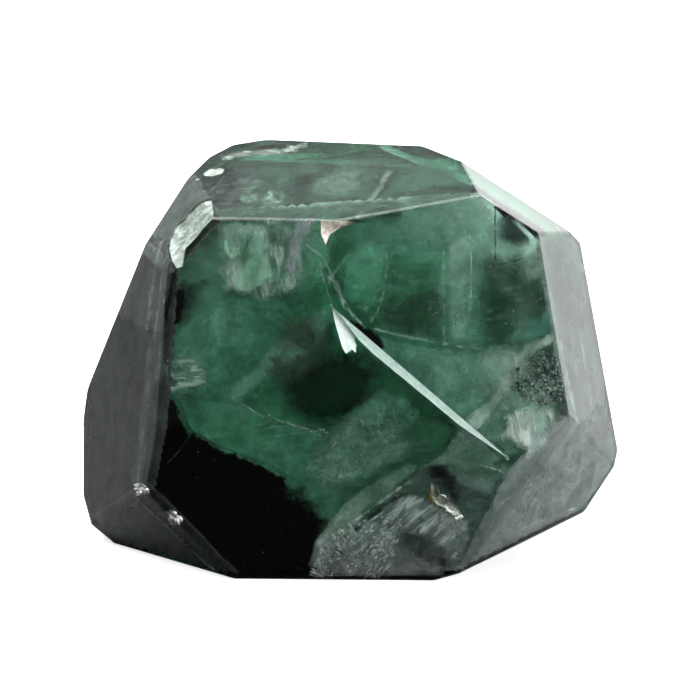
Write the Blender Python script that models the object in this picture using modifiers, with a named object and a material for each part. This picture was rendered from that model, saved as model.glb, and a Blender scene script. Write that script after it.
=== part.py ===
"""A polished, faceted free-form of green fluorite, as one solid.

The stone is worked out in its own frame first: X to the right, Y into the stone
away from the three table facets, Z up along them. It is then tipped back until
its ground base is level, and set with the base on Z = 0.
"""
import math

import bmesh
import bpy
from mathutils import Matrix, Vector, noise

MM = 0.001

# The table facets face the front; the stone leans back so that it rests on its base.
LEAN_DEG = 14.0

# Facet reaches are measured from this point, 22 mm behind the middle of the tables.
CENTRE = Vector((0.0, 22.0, 0.0)) * MM

# Facet: compass turn of its normal as seen from the front (0 right, 90 up),
# tilt of the normal away from the front (0 faces the front, 180 the back),
# and distance of the facet from the centre, in mm.
FRONT_FACETS = {
    "table_left": (144.0, 11.5, 22.1),
    "table_right": (34.0, 12.5, 21.6),
    "table_lower": (-101.0, 7.5, 21.5),
    "crown": (94.0, 59.5, 25.3),
    "left_shoulder": (137.5, 57.0, 31.1),
    "left": (173.0, 61.0, 30.9),
    "left_foot": (-133.0, 55.5, 37.4),
    "right_foot": (-33.5, 45.0, 33.4),
    "right": (12.0, 60.5, 32.3),
    "right_shoulder": (56.0, 70.0, 31.2),
}
SIDE_FACETS = {
    "left_side": (-168.5, 120.5, 37.3),
    "left_heel": (-124.0, 121.5, 34.5),
    "right_heel": (-73.0, 99.0, 30.1),
    "right_corner": (-33.5, 104.0, 37.3),
    "right_side": (9.5, 94.0, 34.7),
    "upper_right_side": (58.0, 96.0, 30.1),
    "top": (85.0, 96.0, 29.8),
    "crown_corner": (133.5, 102.0, 33.4),
    "upper_left_side": (151.0, 96.0, 31.1),
}
BACK_FACETS = {
    "back_table": (-160.0, 171.0, 20.5),
    "back_left": (170.0, 136.0, 28.5),
    "back_crown": (110.0, 133.0, 27.0),
    "back_upper_right": (52.0, 130.0, 27.0),
    "back_right": (0.0, 134.0, 27.5),
    "back_right_foot": (-50.0, 126.0, 29.0),
}
# The base is level once the stone is tipped back.
BASE_FACET = {"base": (-90.0, 90.0 + LEAN_DEG, 26.1)}
FACETS = {**FRONT_FACETS, **SIDE_FACETS, **BACK_FACETS, **BASE_FACET}

ROUGH_BLOCK_SIZE = 140.0 * MM

# Edge rounding from the polishing wheel, in mm: the front edges are crisp,
# the outer corners at the lower left and the right are worn round.
CRISP_ROUNDING = 0.35
SIDE_ROUNDING = 0.7
WORN_ROUNDING = 1.5
ROUNDING_SEGMENTS = 3
WORN_EDGES = (
    {"left", "left_side"},
    {"left", "left_heel"},
    {"left_foot", "left_heel"},
    {"left_side", "left_heel"},
)

MERGE_DISTANCE = 0.001 * MM
STONE_GREEN = (0.10, 0.30, 0.20, 1.0)
FLUORITE_IOR = 1.434

# Small rounded nicks: facet, place on it seen from the front (x, z in mm), angle of
# the long axis in degrees, length, width and depth in mm, and how rough the break is.
NICKS = {
    "corner_nick": ("left", (-28.4, -18.6), 20.0, (1.9, 1.5, 0.6), 0.28),
    "foot_edge_nick": ("left_foot", (-24.0, -22.5), -40.0, (2.2, 1.3, 0.5), 0.28),
    "left_edge_nick": ("left", (-25.2, 6.8), 80.0, (1.0, 0.5, 0.25), 0.25),
    "crown_nick": ("crown", (-21.4, 24.0), 10.0, (0.9, 0.5, 0.2), 0.25),
    "tip_nick": ("table_right", (20.9, -14.4), -45.0, (1.0, 0.6, 0.2), 0.25),
    "back_crown_nick": ("back_crown", (9.0, 24.0), 10.0, (2.6, 1.5, 0.5), 0.22),
    "back_foot_nick": ("back_right_foot", (22.0, -12.0), 40.0, (2.2, 1.3, 0.45), 0.22),
}
NICK_DETAIL = 2
# A nick's cutter is a flattened ball whose middle stands this share of the
# nick's depth above the facet, which leaves a shallow dish with a clean rim.
DISH_LIFT = 0.6
BREAK_GRAIN = 1.3 * MM

# Larger breaks in the front: outline seen from the front (x, z in mm), depth in mm,
# and the floor's kind, one of the profiles below.
BREAKS = {
    "shoulder_chip": (
        (
            (-19.1, 21.0), (-18.6, 19.4), (-18.4, 18.0), (-19.5, 16.8), (-21.0, 15.0),
            (-22.3, 13.7), (-22.7, 11.2), (-23.5, 10.9), (-24.2, 12.0), (-24.8, 13.9),
            (-24.7, 15.6), (-23.9, 17.5), (-22.9, 18.2), (-21.9, 19.5), (-20.8, 20.5),
        ),
        1.1,
        "dish",
    ),
    "blade_scar": (
        (
            (-2.45, 5.75), (-1.20, 4.52), (1.20, 1.33), (3.06, -0.47), (8.00, -4.53),
            (14.62, -10.02), (21.40, -14.67), (20.53, -14.42), (13.90, -10.22),
            (7.27, -5.61), (2.53, -1.73), (0.27, 0.07), (-0.53, -0.47), (-0.99, 0.27),
            (-1.87, 3.20),
        ),
        0.28,
        "flat",
    ),
    "crown_pit": (
        (
            (-3.95, 17.40), (0.86, 17.20), (-1.20, 16.50), (-2.80, 15.42), (-3.30, 13.95),
            (-3.95, 15.55),
        ),
        0.8,
        "pit",
    ),
    "lower_pit": (
        (
            (10.75, -17.70), (11.60, -18.00), (12.00, -19.60), (13.50, -20.20),
            (14.55, -21.00), (15.20, -22.20), (14.10, -22.40), (13.00, -21.30),
            (11.70, -20.85), (10.90, -19.80),
        ),
        0.5,
        "pit",
    ),
    "crown_chip": (
        (
            (-20.80, 24.90), (-19.90, 25.75), (-18.70, 26.00), (-17.75, 25.60),
            (-18.00, 24.90), (-19.40, 24.45), (-20.50, 24.55),
        ),
        0.45,
        "dish",
    ),
}
# Rings of a break's floor from its rim inwards: how far the outline has shrunk
# towards its middle, and the share of the full depth.
FLOOR_PROFILES = {
    "dish": ((0.03, 0.25), (0.20, 0.60), (0.42, 0.85), (0.68, 1.0)),
    "pit": ((0.05, 0.45), (0.35, 0.90), (0.65, 1.0)),
    "flat": ((0.0, 1.0),),
}
RIM_CLEARANCE = 3.0 * MM
OUTLINE_STEP = 0.45 * MM
FLOOR_ROUGHNESS = 0.07 * MM
RIPPLE_SPACING = 1.5 * MM
RIPPLE_HEIGHT = 0.05 * MM


def start_clean():
    """Remove every object that is already in the file."""
    for item in list(bpy.data.objects):
        bpy.data.objects.remove(item, do_unlink=True)


def make_collection(name):
    """Add a collection to the scene."""
    collection = bpy.data.collections.new(name)
    bpy.context.scene.collection.children.link(collection)
    return collection


def add_object(name, mesh, collection):
    """Put a mesh into the scene as an object."""
    item = bpy.data.objects.new(name, mesh)
    collection.objects.link(item)
    return item


def facet_normal(name):
    """Outward normal of a facet."""
    turn, tilt, _ = FACETS[name]
    turn = math.radians(turn)
    tilt = math.radians(tilt)
    return Vector(
        (
            math.sin(tilt) * math.cos(turn),
            -math.cos(tilt),
            math.sin(tilt) * math.sin(turn),
        )
    )


def facet_depth(name, x, z):
    """Depth (y) at which a line from the front at x, z meets a facet's plane."""
    normal = facet_normal(name)
    reach = FACETS[name][2] * MM
    across = normal.x * (x - CENTRE.x) + normal.z * (z - CENTRE.z)
    return CENTRE.y + (reach - across) / normal.y


def front_depth(x, z):
    """Depth of the stone's front surface at x, z."""
    return max(facet_depth(name, x, z) for name in FRONT_FACETS)


def cut_facet(body, name):
    """Cut one flat facet and close the cut."""
    normal = facet_normal(name)
    point = CENTRE + normal * FACETS[name][2] * MM
    everything = body.verts[:] + body.edges[:] + body.faces[:]
    bmesh.ops.bisect_plane(
        body,
        geom=everything,
        dist=MERGE_DISTANCE,
        plane_co=point,
        plane_no=normal,
        clear_outer=True,
    )
    rim = [edge for edge in body.edges if edge.is_boundary]
    bmesh.ops.holes_fill(body, edges=rim, sides=0)


def facet_of(face):
    """Name of the facet that a face lies on."""
    return max(FACETS, key=lambda name: facet_normal(name).dot(face.normal))


def edge_rounding(names):
    """Rounding in mm for the edge between two facets."""
    if names in WORN_EDGES:
        return WORN_ROUNDING
    if names <= set(FRONT_FACETS):
        return CRISP_ROUNDING
    return SIDE_ROUNDING


def faceted_block():
    """The stone as a sharp-edged convex block, each edge weighted for its rounding."""
    body = bmesh.new()
    bmesh.ops.create_cube(
        body, size=ROUGH_BLOCK_SIZE, matrix=Matrix.Translation(CENTRE)
    )
    for name in FACETS:
        cut_facet(body, name)
    bmesh.ops.recalc_face_normals(body, faces=body.faces)
    weights = body.edges.layers.float.new("bevel_weight_edge")
    for edge in body.edges:
        names = {facet_of(face) for face in edge.link_faces}
        edge[weights] = edge_rounding(names) / WORN_ROUNDING
    mesh = bpy.data.meshes.new("stone")
    body.to_mesh(mesh)
    body.free()
    return mesh


def nick_cutter(name, collection):
    """A flattened, roughened ball that leaves one small nick."""
    facet, place, angle, size, rough = NICKS[name]
    length, width, depth = [value * MM for value in size]
    lift = DISH_LIFT * depth
    half_height = depth + lift
    spread = 1.0 / math.sqrt(1.0 - (lift / half_height) ** 2)
    radii = Vector((spread * length / 2.0, spread * width / 2.0, half_height))
    normal = facet_normal(facet)
    x, z = [value * MM for value in place]
    along = Vector((math.cos(math.radians(angle)), 0.0, math.sin(math.radians(angle))))
    along.y = -(normal.x * along.x + normal.z * along.z) / normal.y
    along.normalize()
    centre = Vector((x, facet_depth(facet, x, z), z)) + normal * lift
    frame = Matrix((along, normal.cross(along), normal)).transposed()

    ball = bmesh.new()
    bmesh.ops.create_icosphere(ball, subdivisions=NICK_DETAIL, radius=1.0)
    for vert in ball.verts:
        shaped = vert.co * radii
        swell = rough * noise.noise((shaped + centre) / BREAK_GRAIN)
        vert.co = centre + frame @ (shaped * (1.0 + swell))
    mesh = bpy.data.meshes.new(name)
    ball.to_mesh(mesh)
    ball.free()
    return add_object(name, mesh, collection)


def finer_outline(points):
    """Add points along an outline until no step is longer than OUTLINE_STEP."""
    finer = []
    for index, point in enumerate(points):
        after = points[(index + 1) % len(points)]
        count = max(1, math.ceil((after - point).length / OUTLINE_STEP))
        finer.extend(point.lerp(after, step / count) for step in range(count))
    return finer


def floor_relief(point, impact):
    """Rings that spread from where the break was struck, and fine roughness."""
    rings = math.sin(math.tau * (point - impact).length / RIPPLE_SPACING)
    grain = noise.noise(Vector((point.x, 0.0, point.y)) / BREAK_GRAIN)
    return RIPPLE_HEIGHT * rings + FLOOR_ROUGHNESS * grain


def add_ring(block, points, middle, shrink, depth, impact, rough):
    """One ring of a break's cutter, at a depth under the front surface."""
    ring = []
    for point in points:
        place = point.lerp(middle, shrink)
        relief = floor_relief(place, impact) if rough else 0.0
        y = front_depth(place.x, place.y) + depth + relief
        ring.append(block.verts.new((place.x, y, place.y)))
    return ring


def join_rings(block, outer, inner):
    """Faces between two rings."""
    count = len(outer)
    for index in range(count):
        after = (index + 1) % count
        block.faces.new((outer[after], outer[index], inner[index], inner[after]))


def break_cutter(name, collection):
    """A block with the break's outline that reaches from outside down to its floor."""
    outline, depth, kind = BREAKS[name]
    corners = [Vector(corner) * MM for corner in outline]
    points = corners if kind == "flat" else finer_outline(corners)
    middle = sum(points, Vector((0.0, 0.0))) / len(points)
    block = bmesh.new()
    ring = add_ring(block, points, middle, 0.0, -RIM_CLEARANCE, points[0], False)
    block.faces.new(ring)
    for shrink, share in FLOOR_PROFILES[kind]:
        rough = kind != "flat"
        inner = add_ring(
            block, points, middle, shrink, share * depth * MM, points[0], rough
        )
        join_rings(block, ring, inner)
        ring = inner
    block.faces.new(list(reversed(ring)))
    bmesh.ops.triangulate(block, faces=block.faces)
    bmesh.ops.recalc_face_normals(block, faces=block.faces)
    mesh = bpy.data.meshes.new(name)
    block.to_mesh(mesh)
    block.free()
    return add_object(name, mesh, collection)


def round_edges(item):
    """Round every edge by its own weight."""
    bevel = item.modifiers.new("polished edges", "BEVEL")
    bevel.limit_method = "WEIGHT"
    bevel.width = WORN_ROUNDING * MM
    bevel.segments = ROUNDING_SEGMENTS
    bevel.use_clamp_overlap = False


def cut_damage(item, cutters):
    """Cut every chip and scar out of the stone."""
    cut = item.modifiers.new("chips and scars", "BOOLEAN")
    cut.operation = "DIFFERENCE"
    cut.solver = "EXACT"
    cut.operand_type = "COLLECTION"
    cut.collection = cutters


def apply_modifiers(item):
    """Replace the object's mesh by what its modifiers make of it."""
    bpy.context.view_layer.update()
    result = item.evaluated_get(bpy.context.evaluated_depsgraph_get())
    mesh = bpy.data.meshes.new_from_object(result)
    item.modifiers.clear()
    item.data = mesh


def stand_on_base(item):
    """Tip the stone back onto its base and put the middle of its box at the origin."""
    mesh = item.data
    mesh.transform(Matrix.Rotation(-math.radians(LEAN_DEG), 4, "X"))
    corners = [vert.co for vert in mesh.vertices]
    middle_x = (min(c.x for c in corners) + max(c.x for c in corners)) / 2.0
    middle_y = (min(c.y for c in corners) + max(c.y for c in corners)) / 2.0
    lowest = min(c.z for c in corners)
    mesh.transform(Matrix.Translation((-middle_x, -middle_y, -lowest)))


def smooth_rounded_edges(mesh):
    """Shade the rounded edges smooth and keep each break sharp."""
    for face in mesh.polygons:
        face.use_smooth = True
    mesh.set_sharp_from_angle(angle=math.radians(30.0))


def fluorite_material():
    """Clear green stone."""
    material = bpy.data.materials.new("green_fluorite")
    material.use_nodes = True
    shader = material.node_tree.nodes["Principled BSDF"]
    shader.inputs["Base Color"].default_value = STONE_GREEN
    shader.inputs["Roughness"].default_value = 0.05
    shader.inputs["IOR"].default_value = FLUORITE_IOR
    shader.inputs["Transmission Weight"].default_value = 1.0
    return material


def build():
    """Make the stone."""
    start_clean()
    parts = make_collection("faceted_fluorite")
    cutters = make_collection("cutters")
    stone = add_object("stone", faceted_block(), parts)
    for name in NICKS:
        nick_cutter(name, cutters)
    for name in BREAKS:
        break_cutter(name, cutters)
    round_edges(stone)
    cut_damage(stone, cutters)
    apply_modifiers(stone)
    for cutter in list(cutters.objects):
        bpy.data.objects.remove(cutter, do_unlink=True)
    bpy.data.collections.remove(cutters)
    stand_on_base(stone)
    smooth_rounded_edges(stone.data)
    stone.data.materials.clear()
    stone.data.materials.append(fluorite_material())


build()
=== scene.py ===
"""Visual model of the polished green fluorite: surface, breaks, inner veils, floor and light."""

import math
import random
from itertools import product

import bmesh
import bpy
from mathutils import Matrix, Vector, noise
from mathutils.bvhtree import BVHTree


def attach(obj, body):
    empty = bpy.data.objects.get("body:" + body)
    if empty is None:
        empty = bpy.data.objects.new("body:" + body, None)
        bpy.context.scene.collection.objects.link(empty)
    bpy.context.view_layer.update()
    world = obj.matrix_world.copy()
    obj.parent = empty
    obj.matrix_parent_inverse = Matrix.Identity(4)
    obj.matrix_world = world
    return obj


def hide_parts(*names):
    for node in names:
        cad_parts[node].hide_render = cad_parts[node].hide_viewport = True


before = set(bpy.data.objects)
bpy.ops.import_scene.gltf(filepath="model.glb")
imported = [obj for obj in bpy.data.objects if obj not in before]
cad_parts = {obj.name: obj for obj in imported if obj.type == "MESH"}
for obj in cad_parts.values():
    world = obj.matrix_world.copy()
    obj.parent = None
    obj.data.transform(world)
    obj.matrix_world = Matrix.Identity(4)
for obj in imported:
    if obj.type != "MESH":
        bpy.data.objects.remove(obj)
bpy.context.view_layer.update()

MM = 0.001
IOR = 1.434
STONE_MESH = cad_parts["stone"].data

# The photograph's camera: 275 mm from the middle of the tables, looking 14 degrees down.
PICTURE_SIZE = 700
MIDDLE = PICTURE_SIZE / 2.0
LEAN = math.radians(14.0)
LEVEL_TO_STONE = Matrix.Rotation(LEAN, 3, "X")
STONE_TO_LEVEL = Matrix.Rotation(-LEAN, 3, "X")
CAMERA_PLACE = Vector((0.5321, -288.6526, 97.9508)) * MM
CAMERA_LENS = 106.18
SENSOR = 36.0


def add_camera():
    """The camera at the photograph's viewing angle."""
    data = bpy.data.cameras.new("camera")
    data.lens = CAMERA_LENS
    data.sensor_width = SENSOR
    data.clip_start = 0.01
    data.clip_end = 20.0
    camera = link(bpy.data.objects.new("camera", data))
    camera.location = CAMERA_PLACE
    camera.rotation_euler = (math.pi / 2.0 - LEAN, 0.0, 0.0)
    bpy.context.scene.camera = camera


def pixel_direction(px, py):
    """Direction from the camera through a pixel of the photograph."""
    across = (px - MIDDLE) / PICTURE_SIZE * SENSOR / CAMERA_LENS
    up = (MIDDLE - py) / PICTURE_SIZE * SENSOR / CAMERA_LENS
    ray = Vector((across, 1.0, up))
    ray.rotate(STONE_TO_LEVEL)
    return ray.normalized()


def pixel_of(point):
    """Pixel of the photograph that shows a point."""
    view = LEVEL_TO_STONE @ (point - CAMERA_PLACE)
    scale = CAMERA_LENS / SENSOR * PICTURE_SIZE / view.y
    return MIDDLE + view.x * scale, MIDDLE - view.z * scale


def link(item):
    """Put an object into the scene."""
    bpy.context.collection.objects.link(item)
    return item


def mesh_object(name, body):
    """An object from a bmesh."""
    mesh = bpy.data.meshes.new(name)
    body.to_mesh(mesh)
    body.free()
    return link(bpy.data.objects.new(name, mesh))


def smooth_faces(item):
    """Shade an object's faces smooth."""
    for face in item.data.polygons:
        face.use_smooth = True


# Materials

ABSORB_COLOR = (0.0, 0.535, 0.335, 1.0)
ABSORB_DENSITY = 190.0

# Breaks: name, light and dark tone, size of their patches in mm, clearness, roughness.
BROKEN_LOOKS = (
    ("broken_fluorite", (0.62, 0.72, 0.64), (0.20, 0.26, 0.22), 1.2, 0.35, 0.4),
    # The scar's pale frosted tone is partly a frosted break and partly a painted highlight, the light its
    # face reflects.
    ("scar_fluorite", (0.84, 0.95, 0.91), (0.70, 0.82, 0.78), 0.8, 0.0, 0.5),
    ("pit_fluorite", (0.90, 0.86, 0.80), (0.55, 0.50, 0.44), 0.6, 0.0, 0.6),
)

# Veil patterns of one noise: its stretch along X, Y and Z and turn in degrees, its size
# in mm, detail, roughness and distortion, the range it is spread over, the least share.
EVEN = (1.0, 1.0, 1.0)
PATTERNS = {
    "plain": (EVEN, 0.0, (9.0, 2.0), (0.2, 0.8, 0.85, 1.0), 0.0),
    "feather": ((1.0, 1.0, 7.0), 8.0, (1.1, 5.0, 0.62, 0.5), (0.42, 0.62), 0.06),
    "grain": (EVEN, 0.0, (0.42, 4.0, 0.75), (0.50, 0.60), 0.04),
    "trace": (EVEN, 0.0, (1.1, 5.0, 0.7), (0.42, 0.60, 0.08, 1.0), 0.0),
    "slant": ((6.0, 1.0, 1.0), 41.0, (0.8, 6.0, 0.68, 0.6), (0.46, 0.62), 0.04),
    "bands": ((5.0, 1.0, 1.0), 6.0, (0.55, 3.0, 0.6, 0.4), (0.47, 0.62), 0.05),
}


def fill(tree, node, inputs):
    """Set a node's inputs, and link those that come from another node."""
    for name, value in inputs.items():
        if isinstance(value, bpy.types.NodeSocket):
            tree.links.new(value, node.inputs[name])
        else:
            node.inputs[name].default_value = value


def add_node(tree, kind, inputs, **properties):
    """A node with its properties set and its inputs filled."""
    node = tree.nodes.new("ShaderNode" + kind)
    for name, value in properties.items():
        setattr(node, name, value)
    fill(tree, node, inputs)
    return node


def new_material(name):
    """A material with its node tree, shader and output."""
    material = bpy.data.materials.new(name)
    material.use_nodes = True
    material.use_transparent_shadow = False
    tree = material.node_tree
    return material, tree, tree.nodes["Principled BSDF"], tree.nodes["Material Output"]


def stone_coordinates(tree, stretch=EVEN, turn=0.0):
    """Coordinates in mm with X and Z along the tables, turned and then stretched."""
    place = tree.nodes.new("ShaderNodeTexCoord").outputs["Object"]
    for change in (
        {"Rotation": (LEAN, 0.0, 0.0), "Scale": [1.0 / MM] * 3},
        {"Rotation": (0.0, math.radians(turn), 0.0)},
        {"Scale": [1.0 / share for share in stretch]},
    ):
        place = add_node(tree, "Mapping", {"Vector": place, **change}).outputs["Vector"]
    return place


def noise_value(tree, vector, size, detail=5.0, rough=0.6, distort=0.0):
    """Noise with features of about size mm."""
    inputs = {"Scale": 1.0 / size, "Detail": detail, "Roughness": rough, "Distortion": distort}
    return add_node(tree, "TexNoise", {"Vector": vector, **inputs}).outputs["Fac"]


def cell_edges(tree, vector, size, jitter=1.0):
    """Distance from the edges of random cells, in cell sizes."""
    inputs = {"Vector": vector, "Scale": 1.0 / size, "Randomness": jitter}
    return add_node(tree, "TexVoronoi", inputs, feature="DISTANCE_TO_EDGE").outputs["Distance"]


def ranged(tree, value, low, high, to_low=0.0, to_high=1.0, shape="SMOOTHSTEP"):
    """A value moved from one range to another."""
    inputs = {"Value": value, "From Min": low, "From Max": high, "To Min": to_low, "To Max": to_high}
    return add_node(tree, "MapRange", inputs, interpolation_type=shape).outputs["Result"]


def combined(tree, operation, first, second, use_clamp=True):
    """Two values joined by one operation, and mostly kept between 0 and 1."""
    node = add_node(tree, "Math", {0: first, 1: second}, operation=operation, use_clamp=use_clamp)
    return node.outputs[0]


def relief(tree, height, strength, depth):
    """Normals of a fine relief, its depth in mm."""
    bump = add_node(tree, "Bump", {"Strength": strength, "Distance": depth * MM, "Height": height})
    return bump.outputs["Normal"]


def add_absorption(tree, output):
    """Green absorption inside the stone."""
    absorb = add_node(tree, "VolumeAbsorption", {"Color": ABSORB_COLOR, "Density": ABSORB_DENSITY})
    tree.links.new(absorb.outputs["Volume"], output.inputs["Volume"])


def polished_material():
    """Clear polished fluorite: slight waves of the polish, and a few duller places."""
    material, tree, shader, output = new_material("polished_fluorite")
    place = stone_coordinates(tree)
    fill(tree, shader, {
        "Base Color": (1.0, 1.0, 1.0, 1.0),
        "IOR": IOR,
        "Transmission Weight": 1.0,
        "Roughness": ranged(tree, noise_value(tree, place, 5.0, 6.0, 0.65), 0.45, 0.70, 0.015, 0.09),
        "Normal": relief(tree, noise_value(tree, place, 4.0, 2.0), 0.25, 0.06),
    })
    add_absorption(tree, output)
    return material


def broken_material(name, light, dark, size, clear, rough):
    """A frosted break in two tones, with a grain."""
    material, tree, shader, output = new_material(name)
    place = stone_coordinates(tree)
    patches = ranged(tree, noise_value(tree, place, size, 6.0, 0.7), 0.38, 0.62)
    tones = add_node(tree, "Mix", {0: patches, 6: (*dark, 1.0), 7: (*light, 1.0)}, data_type="RGBA")
    fill(tree, shader, {
        "Base Color": tones.outputs[2],
        "IOR": IOR,
        "Transmission Weight": clear,
        "Roughness": rough,
        "Normal": relief(tree, noise_value(tree, place, 0.3, 5.0, 0.7), 0.6, 0.08),
    })
    add_absorption(tree, output)
    return material


def cloud_pattern(tree):
    """Soft clouds, finely uneven."""
    place = stone_coordinates(tree)
    broad = ranged(tree, noise_value(tree, place, 6.0, 4.0, 0.6, 0.6), 0.34, 0.66, 0.25, 1.0)
    fine = ranged(tree, noise_value(tree, place, 0.8, 3.0), 0.3, 0.7, 0.7, 1.0)
    return combined(tree, "MULTIPLY", broad, fine)


def crinkle_pattern(tree):
    """Flecks and cell borders in torn patches."""
    place = stone_coordinates(tree, (1.0, 1.0, 1.4), -25.0)
    lines = ranged(tree, cell_edges(tree, place, 1.3), 0.0, 0.16, 1.0, 0.0)
    patches = ranged(tree, noise_value(tree, place, 1.6, 5.0, 0.7, 0.8), 0.46, 0.60)
    specks = ranged(tree, noise_value(tree, place, 0.35, 3.0, 0.7), 0.50, 0.64)
    marks = combined(tree, "MULTIPLY", patches, combined(tree, "ADD", specks, lines))
    return combined(tree, "ADD", marks, 0.03)


def steps_pattern(tree):
    """Blocks with pale borders, like the steps of a cube's growth."""
    place = stone_coordinates(tree, EVEN, 3.0)
    broad = ranged(tree, noise_value(tree, place, 3.2, 2.0, 0.5), 0.40, 0.60, 0.35, 1.0)
    lines = ranged(tree, cell_edges(tree, place, 2.2, 0.55), 0.0, 0.05, 1.0, 0.0)
    fine = ranged(tree, noise_value(tree, place, 0.5, 5.0, 0.7), 0.35, 0.65, 0.6, 1.0)
    return combined(tree, "MULTIPLY", combined(tree, "ADD", broad, lines), fine)


JOINED_PATTERNS = {"cloud": cloud_pattern, "crinkle": crinkle_pattern, "steps": steps_pattern}


def veil_pattern(tree, kind):
    """Share of a veil that is there, 0 to 1."""
    if kind in JOINED_PATTERNS:
        return JOINED_PATTERNS[kind](tree)
    stretch, turn, grain, spread, least = PATTERNS[kind]
    share = noise_value(tree, stone_coordinates(tree, stretch, turn), *grain)
    return combined(tree, "ADD", ranged(tree, share, *spread), least)


def stored(tree, name):
    """A value stored on the mesh."""
    return add_node(tree, "Attribute", {}, attribute_name=name).outputs["Fac"]


def veil_material(kind):
    """A veil inside the stone; the same material also makes the sheets of painted shade, light and sheen.

    The mesh says how far each point is inside the veil's border (within), how soft and
    ragged that border is, how strong the veil is and its colour.
    """
    material, tree, shader, _ = new_material("veil_" + kind)
    place = stone_coordinates(tree)
    tear = ranged(tree, noise_value(tree, place, 1.4, 3.0, 0.65), 0.3, 0.7, -1.0, 1.0, "LINEAR")
    torn = combined(tree, "MULTIPLY", tear, stored(tree, "ragged"), False)
    border = combined(tree, "ADD", stored(tree, "within"), torn, False)
    fade = ranged(tree, combined(tree, "DIVIDE", border, stored(tree, "soften"), False), 0.0, 1.0)
    strong = combined(tree, "MULTIPLY", fade, stored(tree, "strength"))
    tint = add_node(tree, "Attribute", {}, attribute_name="tint").outputs["Color"]
    mottle = ranged(tree, noise_value(tree, place, 2.4, 3.0, 0.65), 0.3, 0.7, 0.55, 1.0)
    colour = add_node(tree, "Mix", {0: 1.0, 6: tint, 7: mottle}, data_type="RGBA", blend_type="MULTIPLY")
    fill(tree, shader, {
        "Base Color": colour.outputs[2],
        "Roughness": 0.6,
        "IOR": 1.45,
        "Specular IOR Level": 0.0,
        "Alpha": combined(tree, "MULTIPLY", veil_pattern(tree, kind), strong),
    })
    return material


# Surface

FINE_EDGE = 0.5 * MM
REFINE_ROUNDS = 3
MERGE_DISTANCE = 0.0001 * MM
SHARP_BREAK = math.radians(26.0)
SMALLEST_FACET = 4.0 * MM * MM
FLATNESS = 0.03 * MM
SAME_FACET = 0.999
POLISHED, BROKEN, BLADE, PIT = range(4)

# Where the scar and the pit lie in the photograph: left, right, top and bottom in pixels.
BLADE_WINDOW = (328.0, 515.0, 300.0, 462.0)
PIT_WINDOW = (318.0, 360.0, 216.0, 250.0)
SCAR_ACROSS = Vector((0.617, 0.0, 0.786))
SCAR_WALL = 0.297
SCAR_HEAD_END = 356.0

# Grains in a mm of the breaks, and the grain's height in mm in the scar and in the other breaks.
GRAINS_PER_MM = 1.9
BLADE_GRAIN = 0.025
BREAK_GRAIN = 0.07


def smooth_island(first, left):
    """Faces that can be reached from a face without crossing a sharp edge."""
    island = {first}
    stack = [first]
    while stack:
        for edge in stack.pop().edges:
            if edge.calc_face_angle(0.0) > SHARP_BREAK:
                continue
            for face in edge.link_faces:
                if face in left and face not in island:
                    island.add(face)
                    stack.append(face)
    return island


def in_window(pixel, window):
    """Whether a pixel lies in a window of the photograph."""
    left, right, top, bottom = window
    return left < pixel[0] < right and top < pixel[1] < bottom


def kind_of_break(island):
    """Which finish a broken area has, from where it lies in the photograph."""
    middle = sum((face.calc_center_median() for face in island), Vector()) / len(island)
    pixel = pixel_of(middle)
    if middle.y <= 0.0 and in_window(pixel, BLADE_WINDOW):
        return BLADE
    if middle.y <= 0.0 and in_window(pixel, PIT_WINDOW):
        return PIT
    return BROKEN


def mark_breaks(body):
    """Tell the polished surface from the breaks, and crease their borders."""
    left = set(body.faces)
    islands = []
    while left:
        island = smooth_island(next(iter(left)), left)
        left -= island
        islands.append(island)
    islands.sort(key=lambda faces: -sum(face.calc_area() for face in faces))
    for island in islands:
        kind = POLISHED if island is islands[0] else kind_of_break(island)
        for face in island:
            face.material_index = kind
    for edge in body.edges:
        edge.smooth = edge.calc_face_angle(0.0) < SHARP_BREAK


def refine_breaks(body):
    """Split the long edges of the broken faces."""
    for _ in range(REFINE_ROUNDS):
        long = [
            edge
            for edge in body.edges
            if edge.calc_length() > FINE_EDGE
            and all(face.material_index != POLISHED for face in edge.link_faces)
        ]
        if not long:
            break
        bmesh.ops.subdivide_edges(body, edges=long, cuts=1)
        bmesh.ops.triangulate(body, faces=[f for f in body.faces if len(f.verts) > 3])


def clear_scar_wall(body):
    """The scar's lower wall is clear beyond its head; the rest of the scar is frosted."""
    for face in body.faces:
        if face.material_index != BLADE or face.normal.dot(SCAR_ACROSS) < SCAR_WALL:
            continue
        if pixel_of(face.calc_center_median())[0] > SCAR_HEAD_END:
            face.material_index = POLISHED


def roughen_breaks(body):
    """A fine grain on the broken faces, away from their rims."""
    for vert in body.verts:
        if any(face.material_index == POLISHED for face in vert.link_faces):
            continue
        size = BLADE_GRAIN if vert.link_faces[0].material_index == BLADE else BREAK_GRAIN
        grain = noise.fractal(vert.co / MM * GRAINS_PER_MM, 0.7, 2.1, 4)
        vert.co += vert.normal * grain * size * MM


def flatten_facets(item):
    """Shade each facet flat and each rounded edge smooth."""
    weighted = item.modifiers.new("flat facets", "WEIGHTED_NORMAL")
    weighted.mode = "FACE_AREA"
    weighted.weight = 100
    weighted.keep_sharp = True
    bpy.context.view_layer.update()
    shaded = item.evaluated_get(bpy.context.evaluated_depsgraph_get())
    mesh = bpy.data.meshes.new_from_object(shaded)
    item.modifiers.clear()
    item.data = mesh


def stone_surface():
    """The stone's surface, finer than the CAD node."""
    body = bmesh.new()
    body.from_mesh(STONE_MESH)
    bmesh.ops.remove_doubles(body, verts=body.verts, dist=MERGE_DISTANCE)
    mark_breaks(body)
    refine_breaks(body)
    body.normal_update()
    roughen_breaks(body)
    clear_scar_wall(body)
    item = mesh_object("stone_surface", body)
    smooth_faces(item)
    item.data.materials.append(polished_material())
    for look in BROKEN_LOOKS:
        item.data.materials.append(broken_material(*look))
    flatten_facets(item)
    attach(item, "root")
    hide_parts("stone")


# Veils

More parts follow.
